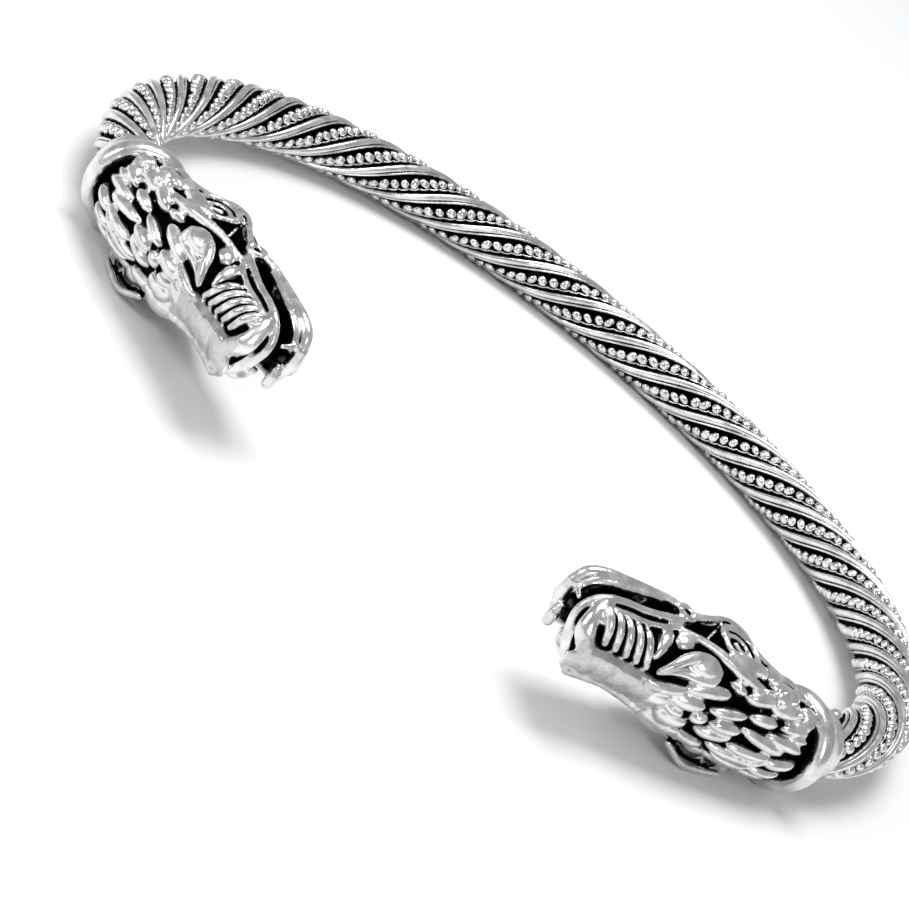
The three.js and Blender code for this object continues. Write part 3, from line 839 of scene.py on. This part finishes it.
# %% Saddle
SADDLE = [
    # x, y, z, half length, half thickness, half width
    (3.1, 0.49, -0.15, 0.5, 0.1, 0.21), (3.6, 0.48, -0.16, 0.5, 0.09, 0.23),
    (4.0, 0.47, -0.19, 0.45, 0.09, 0.27), (4.28, 0.46, -0.22, 0.28, 0.11, 0.3),
]
NEAR_EDGE = [(2.95, 0.48, 0.1, 0.06), (3.3, 0.48, 0.08, 0.055), (3.7, 0.47, 0.06, 0.05),
             (4.1, 0.47, 0.06, 0.05), (4.42, 0.46, 0.02, 0.06)]
FAR_EDGE = [(2.9, 0.45, -0.43, 0.07), (3.25, 0.45, -0.4, 0.06), (3.7, 0.45, -0.38, 0.055),
            (4.1, 0.47, -0.41, 0.06), (4.35, 0.49, -0.42, 0.075)]
mouth += [lump((x, y, z), half, aim=(1, 0, 0), up=(0, 1, -0.25)) for x, y, z, *half in SADDLE]
mouth += [drawn_wire(NEAR_EDGE), drawn_wire(FAR_EDGE)]
print("mouth pieces:", len(mouth))

# %% [markdown]
# ## Melt the head together
# The Remesh modifier wraps all the lumps in one closed skin of small squares, as molten metal
# fills a mould. A little smoothing then rounds the creases.

# %% Remesh
VOXEL = 0.024
raised = joined([whole_upper, far_upper, whole_lower, *mouth, *leaves], "raised")
raised_tree = surface_tree(raised.data)
head = joined([skull, *hollows, raised], "right_head")
finish_modifier(head, "REMESH", mode="VOXEL", voxel_size=VOXEL, adaptivity=0.0)
finish_modifier(head, "SMOOTH", factor=0.5, iterations=2)
print("head faces:", len(head.data.polygons))

# %% [markdown]
# ## Where the blackening stays
# Antiquing leaves black in the hollows and polishes the tops bright. The openness of each
# point is measured by sending short rays out of the surface: where most of them hit
# metal close by, the point lies in a hollow. The bare skull and the filling lumps stay
# black too, so a bright point also lies on a laid-on piece and stands above the skull.
# The result is stored as an attribute.

# %% Measure the hollows
RAY_COUNT = 14
RAY_REACH = 0.34
RAY_START = 0.012


def openness(mesh, reach, ray_count):
    """Share of short rays from each point that leave freely, from 0 in a hollow to 1."""
    points = corners(mesh)
    normals = np.empty(len(mesh.vertices) * 3)
    mesh.vertex_normals.foreach_get("vector", normals)
    normals = normals.reshape(-1, 3)
    helper = np.where(np.abs(normals[:, 0:1]) < 0.8, np.array([[1.0, 0, 0]]), np.array([[0, 1.0, 0]]))
    side = np.cross(normals, helper)
    side /= np.linalg.norm(side, axis=1, keepdims=True)
    other = np.cross(normals, side)
    tree = surface_tree(mesh)
    starts = (points + normals * RAY_START).tolist()
    free = np.zeros(len(points))
    for k in range(ray_count):
        rise = math.sqrt(1 - (k + 0.5) / ray_count * 0.93)
        flat = math.sqrt(1 - rise * rise)
        bearing = k * 2.39996
        rays = normals * rise + side * (flat * math.cos(bearing)) + other * (flat * math.sin(bearing))
        for i, (begin, ray) in enumerate(zip(starts, rays.tolist())):
            distance = tree.ray_cast(begin, ray, reach)[3]
            free[i] += 1.0 if distance is None else 0.6 * distance / reach
    free /= ray_count
    edges = np.empty(len(mesh.edges) * 2, dtype=int)
    mesh.edges.foreach_get("vertices", edges)
    edges = edges.reshape(-1, 2)
    for _ in range(2):
        total, weight = free.copy(), np.ones(len(free))
        np.add.at(total, edges[:, 0], free[edges[:, 1]])
        np.add.at(total, edges[:, 1], free[edges[:, 0]])
        np.add.at(weight, edges.ravel(), 1)
        free = total / weight
    return free


def above_skull(points):
    """Height over the bare skull, in rod widths."""
    middle, wide, high = (np.interp(points[:, 0], SKULL[:, 0], SKULL[:, k]) for k in (1, 2, 3))
    return (np.hypot((points[:, 1] - middle) / high, points[:, 2] / wide) - 1) * (wide + high) / 2


# %% Mark what is polished
HOLLOW_OPENNESS = 0.5
TOP_OPENNESS = 0.82
SKULL_LIFT = 0.03
SKULL_FADE = 0.035
PIECE_REACH = 0.045
PIECE_FADE = 0.03
SNOUT_START = 4.3
SADDLE_START = 3.1
SADDLE_HEIGHT = 0.46
SADDLE_RUB = 0.5
free = openness(head.data, RAY_REACH, RAY_COUNT)
open_share = np.clip((free - HOLLOW_OPENNESS) / (TOP_OPENNESS - HOLLOW_OPENNESS), 0, 1)
at = corners(head.data)
stands_proud = np.clip((above_skull(at) - SKULL_LIFT) / SKULL_FADE, 0, 1)
stands_proud[at[:, 0] > SNOUT_START] = 1.0
away = np.array([raised_tree.find_nearest(point)[3] for point in at.tolist()])
relief = open_share * stands_proud * np.clip((PIECE_REACH - away) / PIECE_FADE, 0, 1)
# The smooth saddle of the nose is less rubbed than the ridges
on_saddle = (at[:, 0] > SADDLE_START) & (at[:, 1] > SADDLE_HEIGHT)
relief[on_saddle] *= SADDLE_RUB
write_attribute(head.data, "relief", relief)
print("openness from", round(float(free.min()), 2), "to", round(float(free.max()), 2))

# %% [markdown]
# ## Set the heads on
# The head's own axes are turned to its place at the end of the hoop. The left head and
# cup are mirror images, so their faces are turned round to point outwards again.

# %% Place the heads
HEAD_HEADING = math.radians(136)
HEAD_PITCH = math.radians(7)
HEAD_ROLL = math.radians(12)
heading = np.array([math.cos(HEAD_HEADING), -math.sin(HEAD_HEADING), 0.0])
forward = heading * math.cos(HEAD_PITCH) + np.array([0.0, 0.0, math.sin(HEAD_PITCH)])
level = np.array([math.sin(HEAD_HEADING), math.cos(HEAD_HEADING), 0.0])
upright = np.cross(forward, level)
crown = level * math.cos(HEAD_ROLL) - upright * math.sin(HEAD_ROLL)
flank_way = upright * math.cos(HEAD_ROLL) + level * math.sin(HEAD_ROLL)

head_frame = np.array([forward, crown, flank_way])
local = corners(head.data) * HEAD_UNIT
move_corners(head.data, rim_centre + local @ head_frame)
pick([head])
bpy.ops.object.shade_smooth()


def mirror_copy(piece, name):
    """The piece for the left end, with its faces turned out again."""
    twin = piece.copy()
    twin.data = piece.data.copy()
    twin.name = twin.data.name = name
    bpy.context.collection.objects.link(twin)
    points = corners(twin.data)
    points[:, 0] *= -1
    move_corners(twin.data, points)
    pick([twin])
    bpy.ops.object.mode_set(mode="EDIT")
    bpy.ops.mesh.select_all(action="SELECT")
    bpy.ops.mesh.normals_make_consistent(inside=False)
    bpy.ops.object.mode_set(mode="OBJECT")
    return twin


cup.name = cup.data.name = "right_cup"
left_head = mirror_copy(head, "left_head")
left_cup = mirror_copy(cup, "left_cup")
for piece in (head, left_head, cup, left_cup):
    move_corners(piece.data, placed(corners(piece.data)))
print("heads and cups in place")

# %% [markdown]
# ## Antiqued metal
# One finish covers the whole ring: bright, slightly uneven metal on the tops and a matt
# black in the hollows. The part that depends on place is a node group with named
# sockets, and the shader itself stays in the material.

# %% Finish
PATCH_SCALE = 900.0
SPECK_SCALE = 5200.0
GRAIN_SCALE = 2600.0
BLACK_ROUGHNESS = 0.95
SMOOTHEST = 0.17
ROUGHEST = 0.32


def antique_group():
    group = bpy.data.node_groups.new("Antique finish", "ShaderNodeTree")
    group.interface.new_socket("Relief", in_out="INPUT", socket_type="NodeSocketFloat")
    group.interface.new_socket("Bright", in_out="INPUT", socket_type="NodeSocketColor")
    group.interface.new_socket("Black", in_out="INPUT", socket_type="NodeSocketColor")
    group.interface.new_socket("Grain", in_out="INPUT", socket_type="NodeSocketFloat")
    group.interface.new_socket("Colour", in_out="OUTPUT", socket_type="NodeSocketColor")
    group.interface.new_socket("Roughness", in_out="OUTPUT", socket_type="NodeSocketFloat")
    group.interface.new_socket("Height", in_out="OUTPUT", socket_type="NodeSocketFloat")
    nodes, links = group.nodes, group.links
    inside = nodes.new("NodeGroupInput")
    outside = nodes.new("NodeGroupOutput")
    place = nodes.new("ShaderNodeTexCoord")

    def noise(scale, detail, rough=0.5):
        node = nodes.new("ShaderNodeTexNoise")
        node.inputs["Scale"].default_value = scale
        node.inputs["Detail"].default_value = detail
        node.inputs["Roughness"].default_value = rough
        links.new(place.outputs["Object"], node.inputs["Vector"])
        return node.outputs["Fac"]

    def span(value, low, high, to_low, to_high):
        node = nodes.new("ShaderNodeMapRange")
        node.interpolation_type = "SMOOTHSTEP"
        links.new(value, node.inputs["Value"])
        for key, number in (("From Min", low), ("From Max", high), ("To Min", to_low), ("To Max", to_high)):
            node.inputs[key].default_value = number
        return node.outputs["Result"]

    def combined(kind, one, two):
        node = nodes.new("ShaderNodeMath")
        node.operation = kind
        for socket, value in zip(node.inputs, (one, two)):
            if isinstance(value, (int, float)):
                socket.default_value = value
            else:
                links.new(value, socket)
        return node.outputs[0]

    patches = noise(PATCH_SCALE, 3.0)
    specks = noise(SPECK_SCALE, 2.0, 0.6)
    # Specks make the edge of the blackening ragged
    fray = combined("MULTIPLY", combined("SUBTRACT", specks, 0.5), 0.35)
    ragged = combined("ADD", inside.outputs["Relief"], fray)
    clean = span(ragged, 0.18, 0.52, 0.0, 1.0)
    # The metal is a little darker in patches and beside the hollows
    beside = span(inside.outputs["Relief"], 0.4, 0.95, 0.72, 1.0)
    shade = combined("MULTIPLY", span(patches, 0.35, 0.65, 0.78, 1.0), beside)
    tinted = nodes.new("ShaderNodeMix")
    tinted.data_type = "RGBA"
    tinted.blend_type = "MULTIPLY"
    tinted.inputs["Factor"].default_value = 1.0
    links.new(inside.outputs["Bright"], tinted.inputs[6])
    grey = nodes.new("ShaderNodeCombineColor")
    for channel in ("Red", "Green", "Blue"):
        links.new(shade, grey.inputs[channel])
    links.new(grey.outputs[0], tinted.inputs[7])
    mixed = nodes.new("ShaderNodeMix")
    mixed.data_type = "RGBA"
    links.new(clean, mixed.inputs["Factor"])
    links.new(inside.outputs["Black"], mixed.inputs[6])
    links.new(tinted.outputs[2], mixed.inputs[7])
    links.new(mixed.outputs[2], outside.inputs["Colour"])
    polish = span(patches, 0.3, 0.7, SMOOTHEST, ROUGHEST)
    rough = nodes.new("ShaderNodeMix")
    rough.data_type = "FLOAT"
    links.new(clean, rough.inputs[0])
    rough.inputs[2].default_value = BLACK_ROUGHNESS
    links.new(polish, rough.inputs[3])
    links.new(rough.outputs[0], outside.inputs["Roughness"])
    texture = combined("ADD", noise(GRAIN_SCALE, 2.0), combined("MULTIPLY", specks, 0.3))
    grain = combined("MULTIPLY", inside.outputs["Grain"], texture)
    links.new(grain, outside.inputs["Height"])
    return group


finish = antique_group()


BLACKENING = (0.003, 0.003, 0.0035)


def antique_metal(name, bright, grain):
    material = bpy.data.materials.new(name)
    material.use_nodes = True
    nodes, links = material.node_tree.nodes, material.node_tree.links
    shader = nodes["Principled BSDF"]
    relief = nodes.new("ShaderNodeAttribute")
    relief.attribute_name = "relief"
    group = nodes.new("ShaderNodeGroup")
    group.node_tree = finish
    group.inputs["Bright"].default_value = (*bright, 1)
    group.inputs["Black"].default_value = (*BLACKENING, 1)
    group.inputs["Grain"].default_value = grain
    links.new(relief.outputs["Fac"], group.inputs["Relief"])
    links.new(group.outputs["Colour"], shader.inputs["Base Color"])
    links.new(group.outputs["Roughness"], shader.inputs["Roughness"])
    bump = nodes.new("ShaderNodeBump")
    bump.inputs["Strength"].default_value = 0.25
    bump.inputs["Distance"].default_value = 0.00006
    links.new(group.outputs["Height"], bump.inputs["Height"])
    links.new(bump.outputs["Normal"], shader.inputs["Normal"])
    shader.inputs["Metallic"].default_value = 1.0
    return material


SILVER = (0.86, 0.855, 0.84)
head_metal = antique_metal("Antiqued silver, heads", SILVER, 1.0)
rod_metal = antique_metal("Antiqued silver, rod", SILVER, 0.8)
for piece in (head, left_head, cup, left_cup):
    piece.data.materials.clear()
    piece.data.materials.append(head_metal)
for piece in hoop_pieces:
    piece.data.materials.clear()
    piece.data.materials.append(rod_metal)
print("materials:", head_metal.name, "and", rod_metal.name)

# %% [markdown]
# ## Tie the pieces to the plain model
# Each finished piece rides on the one body, and the plain solid it stands for is hidden.

# %% Ride and replace
for piece in hoop_pieces:
    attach(piece, "root")
    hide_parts("twisted_hoop")
for piece, node in ((head, "right_dragon_head"), (left_head, "left_dragon_head"),
                    (cup, "right_collar"), (left_cup, "left_collar")):
    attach(piece, "root")
    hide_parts(node)
print("pieces tied:", len(hoop_pieces) + 4)

# %% [markdown]
# ## Floor, light and camera
# Bright jewellery mirrors the room, so it needs large soft lights to shine and darker
# room between them to shape it. The floor is pale and plain.

# %% Floor and world
nothing_selected()
bpy.ops.mesh.primitive_plane_add(size=6.0, location=(0, 0, 0))
floor = bpy.context.object
floor.name = "floor"
paper = bpy.data.materials.new("Pale paper")
paper.use_nodes = True
paper.node_tree.nodes["Principled BSDF"].inputs["Base Color"].default_value = (0.86, 0.86, 0.86, 1)
paper.node_tree.nodes["Principled BSDF"].inputs["Roughness"].default_value = 0.9
floor.data.materials.append(paper)

world = bpy.context.scene.world or bpy.data.worlds.new("Studio")
bpy.context.scene.world = world
world.use_nodes = True
world.node_tree.nodes["Background"].inputs["Color"].default_value = (0.93, 0.96, 1.0, 1)
world.node_tree.nodes["Background"].inputs["Strength"].default_value = 0.46


def soft_light(name, at, size, power, aim=(0, -0.01, 0.0)):
    """A square panel of light that faces the ring."""
    nothing_selected()
    bpy.ops.object.light_add(type="AREA", location=at)
    light = bpy.context.object
    light.name = name
    light.data.shape = "SQUARE"
    light.data.size = size
    light.data.energy = power
    light.rotation_mode = "QUATERNION"
    light.rotation_quaternion = (Vector(aim) - Vector(at)).to_track_quat("-Z", "Y")
    return light


soft_light("light above", (-0.1, 0.1, 0.75), 0.45, 4.3)
soft_light("light left", (-0.6, -0.35, 0.4), 0.3, 1.8)
soft_light("light front right", (0.45, -0.6, 0.45), 0.25, 1.4)
print("lights ready")

# %% Camera
CAMERA_AT = Vector((11.65, -202.6, 73.4)) * MM
camera_turn = Matrix((
    (0.76367, 0.27184, 0.58559),
    (-0.64265, 0.23331, 0.72978),
    (0.06176, -0.93363, 0.35287),
)).transposed()
nothing_selected()
bpy.ops.object.camera_add(location=CAMERA_AT)
camera = bpy.context.object
camera.rotation_mode = "QUATERNION"
camera.rotation_quaternion = camera_turn.to_quaternion()
camera.data.lens = 108.748
camera.data.sensor_width = 36.0
camera.data.clip_start, camera.data.clip_end = 0.01, 20.0
bpy.context.scene.camera = camera
bpy.context.scene.view_settings.view_transform = "Standard"
print("camera at", [round(v, 4) for v in camera.location])
